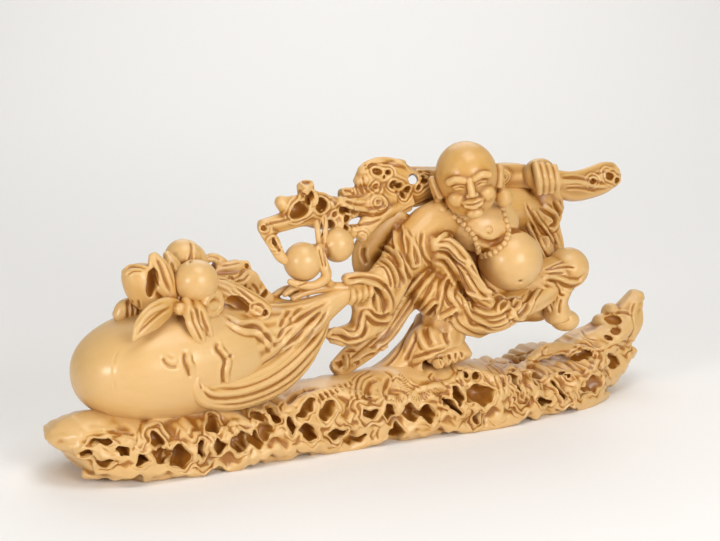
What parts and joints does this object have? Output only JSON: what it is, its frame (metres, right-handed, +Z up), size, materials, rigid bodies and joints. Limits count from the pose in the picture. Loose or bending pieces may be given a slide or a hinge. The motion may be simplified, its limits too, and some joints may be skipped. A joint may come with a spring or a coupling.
{
  "type": "carved budai figure",
  "caption": "Boxwood carving of a laughing monk with a gnarled staff, a gourd and a sack of treasures on a pierced root base",
  "frame": {"origin": "on the table, under the middle of the root's flat underside", "axes": "+X along the root towards its rising end, -Y the carved front, +Z up"},
  "size_m": [0.3006, 0.0639, 0.1223],
  "materials": {
    "boxwood": "satin, hand polished"
  },
  "bodies": {
    "root": {"budai_carving": "boxwood"}
  },
  "joints": []
}
